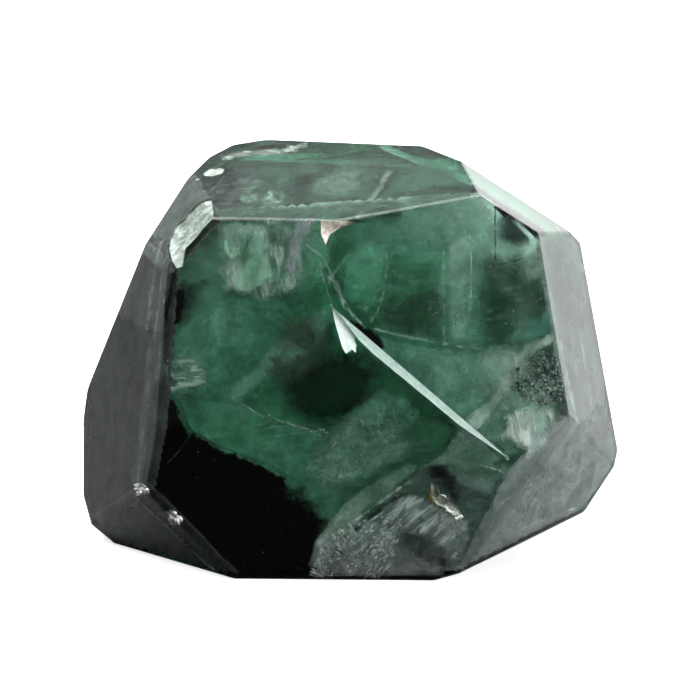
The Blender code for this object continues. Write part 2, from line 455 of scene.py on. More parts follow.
# Veils deeper than SHALLOW under a facet that faces the camera more squarely than STEEP
# face the camera, and all others lie along their facet. SKIN, SHALLOW and PIXEL are in mm.
STEEP = -0.8
SHALLOW = 1.25
ON_SURFACE = (0.0, 0.0)
BREAK_SKIN = 0.06 * MM
SHEET_THICKNESS = 0.04 * MM
SKIN = 0.15
PIXEL = 0.133

# Grid of a sheet with an outline: its steps in pixels, and how many go across the outline.
FINEST_STEP = 1.5
COARSEST_STEP = 5.0
STEPS_ACROSS = 30.0

# Waves of such a sheet: their height in mm, their size in pixels and where their noise starts.
INNER_WAVE = 0.3
SWELL_PIXELS = 30.0
SWELL_SHIFT = 7.0

# Broad sheets: how far their grid reaches in mm, and the size of their waves. Under a facet,
# the height of the waves in mm, and the margin as a share of the depth.
BROAD_REACH = 50.0
SWELL_SIZE = 4.0 * MM
FACET_WAVE = 0.08
MARGIN_SHARE = 0.75

# Threads: their steps, the height and size of their waves in pixels, and points across.
THREAD_STEP = 2.5
THREAD_WAVE = 0.8
THREAD_SWELL = 5.0
THREAD_ROWS = range(-2, 3)

# Flecks: the step in mm that takes one out of a break, how many places are tried for each, and
# how far in mm inside its border each is.
FLECK_STEP = 0.1
FLECK_TRIES = 4
SHARD_WITHIN = 5.0

STONE_MIDDLE = Vector((0.0, 0.0, 27.0)) * MM
VEILS = {}


def facet_planes():
    """The stone's flat facets as pairs of outward normal and distance from the origin."""
    planes = []
    corners = [vert.co for vert in STONE_MESH.vertices]
    for face in sorted(STONE_MESH.polygons, key=lambda f: -f.area):
        if face.area < SMALLEST_FACET:
            break
        normal = face.normal.copy()
        distance = normal.dot(face.center)
        if any(plane[0].dot(normal) > SAME_FACET for plane in planes):
            continue
        if max(normal.dot(corner) for corner in corners) < distance + FLATNESS:
            planes.append((normal, distance))
    return planes


PLANES = facet_planes()
SURFACE = BVHTree.FromPolygons(
    [vert.co for vert in STONE_MESH.vertices],
    [list(face.vertices) for face in STONE_MESH.polygons],
)


def entry(px, py):
    """Ray through a pixel, the place where it enters the stone and the facet's normal there."""
    ray = pixel_direction(px, py)
    found = None
    for normal, distance in PLANES:
        facing = normal.dot(ray)
        if facing >= 0.0:
            continue
        reach = (distance - normal.dot(CAMERA_PLACE)) / facing
        if found is None or reach > found[0]:
            found = (reach, normal)
    return ray, CAMERA_PLACE + ray * found[0], found[1]


def refracted(ray, normal):
    """Direction inside the stone."""
    ratio = 1.0 / IOR
    facing = -normal.dot(ray)
    inner = math.sqrt(1.0 - ratio * ratio * (1.0 - facing * facing))
    return ratio * ray + (ratio * facing - inner) * normal


def depth_inside(point):
    """Distance from a point to the nearest facet, positive inside."""
    return min(distance - normal.dot(point) for normal, distance in PLANES)


def in_break(point):
    """Whether a point lies in a hollow that a break left, or at its wall."""
    if SURFACE.find_nearest(point)[3] < BREAK_SKIN:
        return True
    ahead = (CAMERA_PLACE - point).normalized()
    normal = SURFACE.ray_cast(point, ahead)[1]
    return normal is None or normal.dot(ahead) < 0.0


def sheet_plane(anchor, depth):
    """Plane a depth in mm under a pixel, as one of its points and the way it faces."""
    ray, place, normal = entry(*anchor)
    if normal.dot(ray) > STEEP or depth < SHALLOW:
        return place - normal * depth * MM, normal
    point = place + refracted(ray, normal) * depth * MM
    return point, STONE_TO_LEVEL @ Vector((0.0, -1.0, 0.0))


def seen_at(px, py, plane):
    """The point of a plane that is seen at a pixel through the polished surface."""
    point, facing = plane
    ray, place, normal = entry(px, py)
    inner = refracted(ray, normal)
    reach = facing.dot(point - place) / facing.dot(inner)
    return place + inner * reach


def in_pairs(numbers):
    """Pixels from a row of numbers, X and Y in turn."""
    return tuple(zip(numbers[::2], numbers[1::2]))


def edge_distance(px, py, outline):
    """Distance in pixels to an outline, positive inside."""
    inside = False
    nearest = math.inf
    for (ax, ay), (bx, by) in zip(outline, outline[1:] + outline[:1]):
        if (ay > py) != (by > py) and px < (bx - ax) * (py - ay) / (by - ay) + ax:
            inside = not inside
        dx = bx - ax
        dy = by - ay
        along = max(0.0, min(1.0, ((px - ax) * dx + (py - ay) * dy) / (dx * dx + dy * dy)))
        nearest = min(nearest, math.hypot(px - ax - along * dx, py - ay - along * dy))
    return nearest if inside else -nearest


class Sheet:
    """A thin closed sheet that is made on a grid."""

    def __init__(self, name, kind, strength, colour, soften, ragged):
        self.name = name
        self.kind = kind
        self.values = {"within": 0.0, "strength": strength, "soften": soften, "ragged": ragged}
        self.colour = (*colour, 1.0)
        self.body = bmesh.new()
        layers = self.body.verts.layers
        self.layers = {key: layers.float.new(key) for key in self.values}
        self.tint = layers.float_color.new("tint")
        self.pairs = {}

    def vertex(self, point, within):
        """A vertex with the veil's values, within mm inside the sheet's border."""
        vert = self.body.verts.new(point)
        for key, value in {**self.values, "within": within}.items():
            vert[self.layers[key]] = value
        vert[self.tint] = self.colour
        return vert

    def add(self, key, place, facing, within):
        """One point of the grid, on both sides of the sheet."""
        behind = place - facing * SHEET_THICKNESS
        self.pairs[key] = (self.vertex(place, within), self.vertex(behind, within))

    def add_faces(self):
        """Faces on both sides and round the border."""
        body, pairs = self.body, self.pairs
        for column, row in list(pairs):
            corners = [(column, row), (column + 1, row), (column + 1, row + 1), (column, row + 1)]
            if all(corner in pairs for corner in corners):
                body.faces.new([pairs[corner][0] for corner in corners])
                body.faces.new([pairs[corner][1] for corner in reversed(corners)])
        behind = dict(pairs.values())
        for edge in [edge for edge in body.edges if edge.is_boundary]:
            first, second = edge.verts
            if first in behind and second in behind:
                body.faces.new((second, first, behind[first], behind[second]))
        loose = [vert for vert in body.verts if not vert.link_faces]
        bmesh.ops.delete(body, geom=loose, context="VERTS")
        bmesh.ops.recalc_face_normals(body, faces=body.faces)

    def close(self):
        """Turn the sheet into a piece of the stone."""
        self.add_faces()
        item = mesh_object(self.name, self.body)
        smooth_faces(item)
        if self.kind not in VEILS:
            VEILS[self.kind] = veil_material(self.kind)
        item.data.materials.append(VEILS[self.kind])
        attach(item, "root")


def inner_sheet(name, kind, depth, strength, colour, soften, ragged, numbers):
    """A sheet inside the stone, drawn by the outline it has in the photograph."""
    outline = in_pairs(numbers)
    xs, ys = zip(*outline)
    left, top = min(xs), min(ys)
    width, height = max(xs) - left, max(ys) - top
    plane = sheet_plane((sum(xs) / len(xs), sum(ys) / len(ys)), depth)
    step = max(FINEST_STEP, min(COARSEST_STEP, math.sqrt(width * height) / STEPS_ACROSS))
    border = 2.0 * step + ragged
    sheet = Sheet(name, kind, strength, colour, soften * PIXEL, ragged * PIXEL)
    for column in range(int((width + 2.0 * border) / step) + 2):
        for row in range(int((height + 2.0 * border) / step) + 2):
            px = left - border + column * step
            py = top - border + row * step
            within = edge_distance(px, py, outline)
            if within < -border:
                continue
            point = seen_at(px, py, plane)
            swell = noise.noise(Vector((px / SWELL_PIXELS, py / SWELL_PIXELS, depth + SWELL_SHIFT)))
            point += plane[1] * min(INNER_WAVE, INNER_WAVE * depth) * MM * swell
            inside = depth_inside(point) / MM
            if inside < SKIN or in_break(point):
                continue
            sheet.add((column, row), point, plane[1], min(within * PIXEL, (inside - SKIN) * 2.0))
    sheet.close()


def broad_sheet(name, kind, point, facing, strength, colour, margin=0.3, step=1.0, wave=0.8,
                soften=0.5, ragged=0.0, keep=None):
    """A sheet across the inside of the stone, in its own plane, ended by the facets.

    Its border lies a margin inside them. Keep tells how far a place is inside what is
    kept of the sheet. Margin, step, wave, soften and ragged are in mm.
    """
    across = facing.orthogonal().normalized()
    along = facing.cross(across)
    sheet = Sheet(name, kind, strength, colour, soften, ragged)
    reach = int(BROAD_REACH / step)
    for column in range(-reach, reach + 1):
        for row in range(-reach, reach + 1):
            place = point + (across * column + along * row) * step * MM
            inside = depth_inside(place) / MM
            if inside < SKIN or in_break(place):
                continue
            within = inside - margin
            if keep is not None:
                within = min(within, keep(place))
            swell = noise.noise(place / SWELL_SIZE) * min(1.0, (inside - SKIN) / (2.0 * wave + 0.1))
            sheet.add((column, row), place + facing * wave * MM * swell, facing, within)
    sheet.close()


def stone_direction(turn, tilt):
    """Direction from its compass turn seen from the front and its tilt from the front."""
    turn = math.radians(turn)
    tilt = math.radians(tilt)
    way = Vector((math.sin(tilt) * math.cos(turn), -math.cos(tilt), math.sin(tilt) * math.sin(turn)))
    way.rotate(STONE_TO_LEVEL)
    return way


def facet_sheet(name, kind, facet, depth, strength, colour, margin=None, step=0.8, **more):
    """A sheet a depth in mm under one facet."""
    normal, distance = max(PLANES, key=lambda plane: plane[0].dot(stone_direction(*facet)))
    point = normal * (distance - depth * MM)
    middle = STONE_MIDDLE - normal * (normal.dot(STONE_MIDDLE) - normal.dot(point))
    if margin is None:
        margin = MARGIN_SHARE * depth
    broad_sheet(name, kind, middle, normal, strength, colour, margin, step, FACET_WAVE, **more)


def steps_along(points):
    """Pixels in small steps along a line, each with the line's direction there."""
    for first, second in zip(points, points[1:]):
        length = math.dist(first, second)
        way = ((second[0] - first[0]) / length, (second[1] - first[1]) / length)
        count = max(2, int(length / THREAD_STEP))
        for index in range(count + (second is points[-1])):
            share = index / count
            px = first[0] + (second[0] - first[0]) * share
            py = first[1] + (second[1] - first[1]) * share
            yield px, py, way


def thread(name, kind, depth, width, strength, colour, numbers, under=False):
    """A narrow crack or growth line inside the stone, along pixels of the photograph.

    One that is under the surface follows it; any other lies flat at its depth.
    """
    sheet = Sheet(name, kind, strength, colour, 0.4 * width * PIXEL, 0.06 * width * PIXEL)
    for column, (px, py, way) in enumerate(steps_along(in_pairs(numbers))):
        shift = THREAD_WAVE * noise.noise(Vector((px / THREAD_SWELL, py / THREAD_SWELL, depth)))
        plane = sheet_plane((px, py), depth)
        for row in THREAD_ROWS:
            aside = row * 0.25 * width + shift
            pixel = (px - way[1] * aside, py + way[0] * aside)
            spot, facing = seen_at(*pixel, plane), plane[1]
            if under:
                ray, place, facing = entry(*pixel)
                spot = place - ray * (depth * MM / facing.dot(ray))
            if depth_inside(spot) > SKIN * MM and not in_break(spot):
                sheet.add((column, row), spot, facing, (1.0 - 0.5 * abs(row)) * 0.5 * width * PIXEL)
    sheet.close()


def fleck_place(px, py, depths, chance):
    """Where a fleck that is seen at a pixel lies, on the surface or inside."""
    ray, place, normal = entry(px, py)
    inner = refracted(ray, normal)
    middle = place + inner * chance.uniform(*depths) * MM
    if depths == ON_SURFACE:
        return SURFACE.ray_cast(CAMERA_PLACE, ray)[0]
    while in_break(middle):
        middle += inner * FLECK_STEP * MM
    return middle


def add_shard(sheet, middle, size, stretch, turn, chance):
    """One small eight-sided shard."""
    spin = Matrix.Rotation(math.radians(turn) + chance.uniform(-0.5, 0.5), 3, "Y")
    if stretch == 1.0:
        spin = Matrix.Rotation(chance.uniform(0.0, math.tau), 3, "Y")
    sides = Vector((size * stretch, size * 0.35, size * chance.uniform(0.4, 1.0)))
    corners = []
    for axis in range(3):
        for sign in (1.0, -1.0):
            tip = Vector((0.0, 0.0, 0.0))
            tip[axis] = sign * sides[axis] * chance.uniform(0.6, 1.2)
            corners.append(sheet.vertex(middle + spin @ tip, SHARD_WITHIN))
    for first, second, third in product((0, 1), (2, 3), (4, 5)):
        sheet.body.faces.new((corners[first], corners[second], corners[third]))


def flecks(name, count, depths, sizes, colour, stretch, turn, numbers):
    """Small shards scattered within an outline of the photograph."""
    chance = random.Random(name)
    outline = in_pairs(numbers)
    xs, ys = zip(*outline)
    sheet = Sheet(name, "plain", 1.0, colour, 0.1, 0.0)
    for _ in range(count * FLECK_TRIES):
        if count == 0:
            break
        px = chance.uniform(min(xs), max(xs))
        py = chance.uniform(min(ys), max(ys))
        if edge_distance(px, py, outline) < 0.0:
            continue
        count -= 1
        middle = fleck_place(px, py, depths, chance)
        add_shard(sheet, middle, chance.uniform(*sizes) * MM, stretch, turn, chance)
    sheet.close()


# Stage

FLOOR_RADIUS = 0.6
FLOOR_SHADE = 0.85
FLOOR_GLOW = 0.75
WORLD_RADIANCE = 0.10
WORLD_TO_CAMERA = 1.1
PURE_WHITE = (1.0, 1.0, 1.0, 1.0)
AIM = (0.0, 0.0, 0.03)

# Softboxes: name, place, what they face, width and height, all in metres, and radiance.
SOFTBOXES = (
    ("top_softbox", (0.0, 0.10, 0.75), (0.0, 0.10, 0.0), (1.1, 0.9), 7.0),
    ("back_softbox", (0.0, 0.75, 0.72), AIM, (1.0, 0.5), 0.55),
    ("right_softbox", (0.42, 0.42, 0.20), AIM, (0.62, 0.46), 2.4),
    ("left_softbox", (-0.48, 0.36, 0.33), AIM, (0.70, 0.80), 0.42),
    ("low_right_softbox", (0.46, -0.30, 0.14), (0.03, 0.0, 0.02), (0.44, 0.24), 6.0),
)

# This one lights the stone, but its mirror image would whiten the facets seen from the sides.
NOT_MIRRORED = "low_right_softbox"


def add_softbox(name, place, target, size, radiance):
    """A softbox with a given radiance."""
    data = bpy.data.lights.new(name, "AREA")
    data.shape = "RECTANGLE"
    data.size, data.size_y = size
    data.energy = radiance * size[0] * size[1] * math.pi
    light = link(bpy.data.objects.new(name, data))
    light.location = place
    light.rotation_euler = (Vector(target) - Vector(place)).to_track_quat("-Z", "Y").to_euler()
    light.visible_glossy = name != NOT_MIRRORED


def floor_shade(tree, across, back):
    """The floor's shade as the stone sees it: dark in a wedge in front, and dim to the left."""
    aside = add_node(tree, "Math", {0: across}, operation="ABSOLUTE").outputs[0]
    beyond = combined(tree, "SUBTRACT", aside, combined(tree, "MULTIPLY", back, -0.45), False)
    lit_aside = ranged(tree, beyond, 0.03, 0.05)
    lit = combined(tree, "MAXIMUM", lit_aside, ranged(tree, back, -0.03, -0.01))
    bright = ranged(tree, across, -0.06, 0.02, 0.12, 0.6)
    return combined(tree, "ADD", combined(tree, "MULTIPLY", lit, bright), 0.02)


def add_floor():
    """Floor that is pale to the camera."""
    body = bmesh.new()
    bmesh.ops.create_circle(body, cap_ends=True, segments=96, radius=FLOOR_RADIUS)
    floor = mesh_object("floor", body)
    material, tree, shader, _ = new_material("pale_floor")
    to_camera = tree.nodes.new("ShaderNodeLightPath").outputs["Is Camera Ray"]
    place = tree.nodes.new("ShaderNodeTexCoord").outputs["Object"]
    split = add_node(tree, "SeparateXYZ", {"Vector": place}).outputs
    pale = combined(tree, "MULTIPLY", to_camera, FLOOR_SHADE)
    fill(tree, shader, {
        "Base Color": combined(tree, "MAXIMUM", floor_shade(tree, split["X"], split["Y"]), pale),
        "Roughness": 0.9,
        "Specular IOR Level": 0.0,
        "Emission Color": PURE_WHITE,
        "Emission Strength": combined(tree, "MULTIPLY", to_camera, FLOOR_GLOW),
    })
    floor.data.materials.append(material)


def add_world():
    """Dim surroundings, pale to the camera."""
    world = bpy.data.worlds.new("studio")
    world.use_nodes = True
    bpy.context.scene.world = world
    tree = world.node_tree
    to_camera = tree.nodes.new("ShaderNodeLightPath").outputs["Is Camera Ray"]
    strength = ranged(tree, to_camera, 0.0, 1.0, WORLD_RADIANCE, WORLD_TO_CAMERA, "LINEAR")
    fill(tree, tree.nodes["Background"], {"Color": PURE_WHITE, "Strength": strength})


# Tables of what is in the stone

PALE = (0.84, 0.90, 0.86)
MINT = (0.80, 0.94, 0.86)
GREY = (0.72, 0.74, 0.72)
LILAC = (0.70, 0.65, 0.72)
WHITE = (0.95, 0.95, 0.93)
BLACK = (0.004, 0.004, 0.004)
SMOKE = (0.05, 0.045, 0.045)
ASH = (0.26, 0.25, 0.25)
BROWN = (0.22, 0.21, 0.17)
LEAF = (0.08, 0.24, 0.14)
DEEP = (0.42, 0.62, 0.52)

# All outlines and lines are in pixels of the photograph, X and Y in turn.
# These outlines have two pieces each.
SPECKLED_PATCH = (515, 358, 556, 348, 570, 380, 566, 406, 530, 404, 514, 386)
SPECKLED_SHADE = (511, 358, 550, 344, 572, 380, 568, 408, 528, 406, 510, 388)
LILAC_STREAK = (300, 180, 328, 180, 320, 214, 306, 246, 296, 276, 280, 270, 288, 240, 296, 210)

# Name, pattern, depth in mm under the facet at the outline's middle, strength, colour,
# softness and raggedness of the border in pixels, outline.
FRONT = (
    ("left_body", "cloud", 4.4, 0.95, (0.74, 0.94, 0.84), 14.0, 4.0, (
     168, 330, 186, 318, 212, 300, 250, 288, 300, 284, 336, 330, 338, 352, 300, 374, 258, 398, 243, 408,
     180, 404, 158, 388)),
    ("upper_left_veil", "cloud", 2.4, 0.75, (0.66, 0.86, 0.74), 16.0, 6.0, (
     216, 218, 336, 216, 336, 262, 312, 300, 262, 304, 216, 288)),
    ("brown_heart", "plain", 3.4, 0.75, BROWN, 18.0, 6.0, (
     280, 318, 308, 306, 338, 322, 340, 354, 318, 370, 288, 390, 264, 376)),
    ("wedge_veil", "plain", 3.0, 0.35, PALE, 10.0, 3.0, (
     232, 408, 262, 384, 298, 362, 330, 344, 334, 300, 326, 300, 286, 330, 252, 366, 226, 392)),
    ("kite", "plain", 6.6, 1.0, MINT, 5.0, 1.5, (
     243, 406, 283, 382, 300, 372, 304, 401, 321, 420, 329, 434, 264, 418)),
    ("heart_shadow", "plain", 4.2, 0.95, (0.02, 0.09, 0.055), 22.0, 6.0, (
     280, 376, 326, 346, 352, 346, 384, 366, 384, 394, 356, 422, 322, 430, 288, 410)),
    ("low_green", "plain", 4.8, 1.0, MINT, 3.0, 1.0, (
     178, 396, 241, 402, 266, 416, 329, 434, 332, 472, 300, 484, 266, 464, 232, 452, 209, 441, 188, 429)),
    # Painted shade: left_night and night_fade are black sheets where the clear stone looks dark.
    ("left_night", "plain", 3.8, 1.0, BLACK, 5.0, 2.5, (
     150, 396, 176, 400, 187, 429, 209, 442, 232, 453, 266, 466, 286, 478, 290, 514, 290, 540, 286, 590,
     215, 590, 136, 500)),
    ("night_fade", "plain", 3.0, 0.97, BLACK, 26.0, 8.0, (
     256, 470, 296, 482, 326, 498, 338, 530, 334, 600, 240, 600)),
    # Painted shade: edge_night and edge_dusk are black and dark grey sheets at the left edge, where the
    # clear stone looks dark.
    ("edge_night", "plain", 2.2, 1.0, BLACK, 4.0, 2.0, (166, 288, 186, 289, 185, 306, 180, 325, 164, 326)),
    ("edge_dusk", "cloud", 2.6, 0.85, (0.10, 0.12, 0.12), 12.0, 4.0, (
     168, 278, 210, 278, 208, 300, 188, 322, 166, 332)),
    ("middle_green", "cloud", 3.2, 0.85, PALE, 12.0, 4.0, (
     340, 416, 376, 386, 408, 396, 424, 410, 415, 440, 415, 458, 362, 482, 322, 486, 300, 468, 322, 438)),
    ("dark_window", "plain", 1.2, 0.9, LEAF, 2.5, 0.6, (
     413, 420, 418, 416, 426, 414, 440, 415, 456, 427, 450, 440, 437, 457, 430, 462, 423, 463, 412, 456,
     410, 439)),
    ("diagonal_veil", "cloud", 1.3, 0.85, PALE, 6.0, 1.5, (
     300, 590, 312, 545, 330, 518, 345, 500, 372, 482, 400, 466, 418, 460, 419, 470, 400, 486, 376, 505,
     356, 524, 342, 545, 320, 590)),
    ("low_ash", "cloud", 2.0, 0.9, (0.48, 0.44, 0.46), 7.0, 2.5, (
     316, 590, 342, 545, 356, 524, 376, 505, 404, 482, 420, 464, 452, 460, 486, 468, 508, 458, 522, 476,
     462, 590)),
    ("low_streaks", "slant", 0.8, 1.0, WHITE, 8.0, 3.0, (
     326, 590, 344, 548, 370, 514, 408, 492, 440, 500, 470, 520, 462, 556, 436, 548, 404, 532, 394, 560,
     396, 590)),
    ("low_haze", "cloud", 1.0, 0.75, (0.70, 0.72, 0.76), 12.0, 5.0, (
     330, 580, 342, 545, 356, 524, 388, 500, 430, 496, 462, 512, 472, 540, 448, 560, 420, 536, 398, 540,
     392, 560, 374, 584)),
    # Painted shade: a near-black cloud that darkens the lower middle, where the clear stone looks dark.
    ("low_painted_shade", "cloud", 1.0, 0.7, (0.03, 0.025, 0.028), 24.0, 8.0, (
     394, 522, 426, 512, 456, 532, 456, 570, 424, 588, 396, 572)),
    ("pit_shadow", "plain", 1.0, 0.85, (0.03, 0.02, 0.026), 8.0, 3.0, (
     424, 462, 446, 462, 460, 476, 464, 498, 456, 506, 444, 490, 430, 480)),
    ("right_veil", "cloud", 2.0, 0.75, (0.68, 0.84, 0.76), 10.0, 3.0, (
     380, 334, 440, 348, 476, 350, 520, 343, 566, 328, 576, 412, 545, 444, 512, 468, 500, 456, 454, 420,
     404, 384, 368, 354)),
    ("right_band", "cloud", 1.0, 0.7, PALE, 4.0, 2.0, (
     560, 326, 544, 336, 526, 342, 512, 360, 500, 382, 486, 402, 464, 418, 454, 432, 462, 444, 480, 428,
     496, 410, 512, 388, 524, 368, 540, 350, 562, 342)),
    ("right_wedge", "cloud", 1.2, 0.5, PALE, 5.0, 2.0, (
     430, 462, 440, 452, 456, 434, 464, 420, 484, 432, 470, 448, 452, 462, 438, 470)),
    ("low_right_veil", "cloud", 2.2, 0.55, GREY, 8.0, 2.0, (
     424, 466, 448, 444, 466, 420, 500, 452, 516, 468, 490, 500, 458, 486)),
    ("steps_veil", "steps", 2.8, 0.32, MINT, 14.0, 4.0, (
     344, 222, 380, 212, 484, 193, 502, 202, 498, 262, 530, 260, 552, 258, 562, 330, 520, 348, 476, 354,
     444, 346, 444, 256, 388, 250, 352, 262)),
    ("upper_right_haze", "cloud", 1.5, 0.13, MINT, 14.0, 5.0, (
     344, 220, 484, 190, 540, 230, 560, 330, 500, 300, 470, 260, 400, 246, 350, 256)),
    ("left_oval", "plain", 3.6, 0.65, (0.62, 0.96, 0.80), 12.0, 3.0, (
     335, 270, 342, 256, 356, 243, 372, 240, 387, 250, 386, 290, 378, 304, 368, 314, 346, 304)),
    ("square_upper", "cloud", 3.0, 0.7, (0.14, 0.40, 0.26), 7.0, 2.5, (
     387, 250, 414, 254, 440, 256, 442, 290, 410, 292, 387, 291)),
    ("square_lower", "cloud", 3.0, 0.95, (0.06, 0.14, 0.09), 8.0, 3.0, (
     386, 290, 414, 291, 443, 286, 445, 344, 428, 339, 401, 332, 384, 321, 380, 304)),
    ("light_column", "cloud", 1.6, 0.42, MINT, 10.0, 3.0, (
     444, 240, 470, 236, 471, 322, 466, 346, 446, 344)),
    ("right_dusk", "cloud", 2.2, 0.75, (0.08, 0.27, 0.18), 22.0, 6.0, (
     470, 262, 506, 262, 546, 280, 556, 306, 530, 330, 500, 352, 472, 352)),
    ("teal_band", "cloud", 1.6, 0.45, (0.36, 0.95, 0.78), 8.0, 3.0, (
     510, 340, 526, 318, 560, 306, 564, 330, 540, 340, 520, 348)),
    # Painted shade: a near-black sheet where the upper right corner looks dark.
    ("corner_painted_shade", "plain", 1.2, 0.6, (0.05, 0.06, 0.07), 12.0, 3.0, (
     497, 192, 512, 198, 530, 212, 552, 236, 544, 250, 524, 248, 510, 246, 497, 240)),
    ("corner_grey", "cloud", 2.8, 0.4, (0.30, 0.40, 0.36), 16.0, 4.0, (
     498, 226, 520, 230, 542, 240, 540, 260, 500, 262)),
    ("right_shade", "plain", 1.8, 0.38, (0.04, 0.12, 0.08), 18.0, 5.0, (
     474, 236, 500, 250, 552, 250, 566, 300, 562, 344, 500, 350, 474, 340)),
    ("corner_green", "cloud", 2.0, 0.4, (0.50, 0.94, 0.72), 16.0, 4.0, (
     478, 262, 520, 260, 548, 262, 550, 292, 500, 296, 478, 290)),
    ("scar_shadow", "plain", 1.5, 0.92, BLACK, 5.0, 1.0, (
     343, 316, 360, 322, 380, 334, 388, 350, 376, 352, 357, 338)),
    ("feather_patch", "feather", 0.5, 1.0, WHITE, 5.0, 3.0, (
     509, 414, 525, 408, 551, 410, 562, 428, 554, 445, 546, 454, 540, 480, 530, 470, 527, 448, 515, 444,
     503, 435)),
    ("feather_patch_base", "plain", 0.8, 0.55, (0.86, 1.0, 0.93), 8.0, 5.0, (
     506, 412, 525, 406, 553, 408, 566, 428, 556, 447, 548, 458, 542, 484, 530, 474, 526, 450, 513, 446,
     500, 436)),
    ("speckled_patch", "grain", 0.8, 0.8, PALE, 8.0, 3.0, SPECKLED_PATCH),
    ("speckled_shade", "grain", 0.6, 0.95, (0.02, 0.045, 0.035), 8.0, 3.0, SPECKLED_SHADE),
    ("speckled_dusk", "plain", 1.0, 0.45, (0.05, 0.10, 0.075), 12.0, 4.0, SPECKLED_SHADE),
    ("crinkled_veil", "crinkle", 1.3, 0.55, MINT, 30.0, 12.0, (
     300, 470, 336, 420, 376, 394, 412, 396, 404, 444, 366, 480, 320, 500)),
    ("low_crinkles_left", "crinkle", 0.7, 1.0, WHITE, 5.0, 2.5, (
     310, 582, 314, 556, 336, 534, 358, 520, 356, 542, 334, 580)),
    ("low_crinkles_middle", "crinkle", 0.7, 1.0, WHITE, 7.0, 3.0, (
     358, 580, 366, 545, 386, 512, 402, 518, 394, 560, 380, 580)),
    ("scribbles", "crinkle", 0.6, 0.9, GREY, 5.0, 2.0, (434, 506, 462, 516, 470, 545, 460, 564, 442, 558)),
    ("bright_patch", "cloud", 0.7, 0.85, (0.56, 1.0, 0.72), 9.0, 3.0, (
     230, 296, 235, 278, 241, 253, 239, 231, 262, 233, 275, 245, 267, 253, 278, 272, 287, 278, 268, 286,
     257, 290)),
    ("bright_patch_heart", "cloud", 0.4, 0.75, (0.62, 1.0, 0.78), 7.0, 3.0, (
     250, 238, 262, 240, 261, 256, 252, 270, 268, 264, 266, 284, 252, 292, 234, 292, 236, 276, 246, 264)),
    ("bars", "feather", 0.6, 1.0, (0.66, 1.0, 0.80), 4.0, 1.0, (
     222, 222, 242, 222, 240, 256, 230, 262, 222, 252)),
    ("patch_line", "plain", 0.9, 0.85, (0.05, 0.15, 0.09), 1.5, 0.8, (
     246, 232, 251, 235, 248, 250, 253, 258, 247, 267, 255, 265, 258, 255, 263, 261, 257, 272, 245, 273,
     241, 258, 244, 248)),
    ("tall_feather", "plain", 1.1, 0.6, PALE, 3.0, 1.0, (
     224, 226, 237, 223, 237, 240, 232, 262, 226, 258, 225, 240)),
    ("feathers", "feather", 1.2, 0.8, PALE, 12.0, 5.0, (220, 222, 304, 220, 304, 290, 262, 304, 222, 292)),
    ("lilac_streak", "feather", 0.8, 0.75, LILAC, 8.0, 3.0, LILAC_STREAK),
    ("lilac_streak_base", "plain", 1.0, 0.35, LILAC, 10.0, 3.0, LILAC_STREAK),
    ("purple_patch", "cloud", 0.8, 0.7, (0.07, 0.05, 0.07), 7.0, 3.0, (
     262, 226, 286, 226, 294, 238, 288, 252, 268, 246)),
    ("growth_bands", "bands", 1.2, 0.7, PALE, 6.0, 2.0, (164, 356, 206, 352, 208, 390, 164, 394)),
    ("crown_streak", "cloud", 0.5, 0.8, WHITE, 4.0, 2.0, (
     220, 156, 244, 149, 280, 148, 308, 142, 308, 148, 280, 155, 246, 158, 224, 160)),
    ("crown_veil", "cloud", 1.8, 0.6, (0.20, 0.30, 0.25), 14.0, 5.0, (
     226, 160, 300, 150, 420, 148, 478, 178, 420, 202, 340, 214, 232, 214)),
    ("crown_cloud", "cloud", 1.4, 0.30, MINT, 16.0, 6.0, (
     308, 168, 340, 158, 368, 162, 366, 184, 348, 204, 318, 206, 304, 190)),
    ("crown_feather", "feather", 0.7, 0.40, (0.74, 1.0, 0.86), 10.0, 3.0, (
     260, 186, 288, 186, 286, 214, 276, 234, 260, 228)),
    ("crown_feather_left", "feather", 0.8, 0.40, (0.66, 0.90, 0.78), 10.0, 3.0, (
     240, 190, 248, 176, 268, 176, 262, 192, 256, 216, 238, 216)),
    ("crown_green", "cloud", 1.6, 0.50, (0.20, 0.38, 0.29), 18.0, 4.0, (
     389, 166, 440, 150, 476, 172, 486, 190, 420, 206, 356, 220, 372, 190)),
    ("crown_dusk", "feather", 1.2, 0.5, ASH, 12.0, 5.0, (
     206, 190, 230, 158, 260, 160, 262, 186, 240, 216, 214, 216)),
    ("crown_smear", "cloud", 0.9, 0.4, ASH, 8.0, 4.0, (350, 158, 374, 148, 390, 156, 386, 172, 360, 172)),
    ("left_blob", "plain", 0.9, 0.35, PALE, 8.0, 2.0, (
     146, 348, 160, 332, 166, 350, 160, 382, 150, 386, 142, 370)),
    ("left_upper_haze", "cloud", 0.5, 0.55, (0.72, 0.84, 0.80), 24.0, 2.0, (
     132, 320, 150, 256, 172, 210, 182, 216, 174, 300, 168, 360, 140, 372)),
    # Painted light: a white cloud that brightens the right foot as light through its thin edge would.
    ("foot_light", "cloud", 0.4, 1.0, WHITE, 12.0, 4.0, (
     540, 470, 568, 424, 590, 440, 584, 480, 556, 520, 520, 540, 480, 565, 462, 572)),
    ("table_bands", "bands", 0.7, 0.11, (0.62, 0.95, 0.80), 22.0, 8.0, (
     190, 290, 218, 232, 340, 230, 480, 206, 548, 250, 560, 330, 500, 352, 440, 350, 390, 340, 330, 300,
     290, 330, 240, 380, 186, 396)),
    ("table_bands_low", "bands", 0.9, 0.12, (0.72, 0.90, 0.84), 20.0, 8.0, (
     190, 400, 240, 396, 300, 420, 400, 400, 480, 440, 470, 500, 420, 540, 330, 500)),
    ("foot_dusk", "plain", 0.5, 0.35, LILAC, 10.0, 3.0, (
     578, 420, 606, 444, 614, 470, 590, 500, 578, 470)),
)

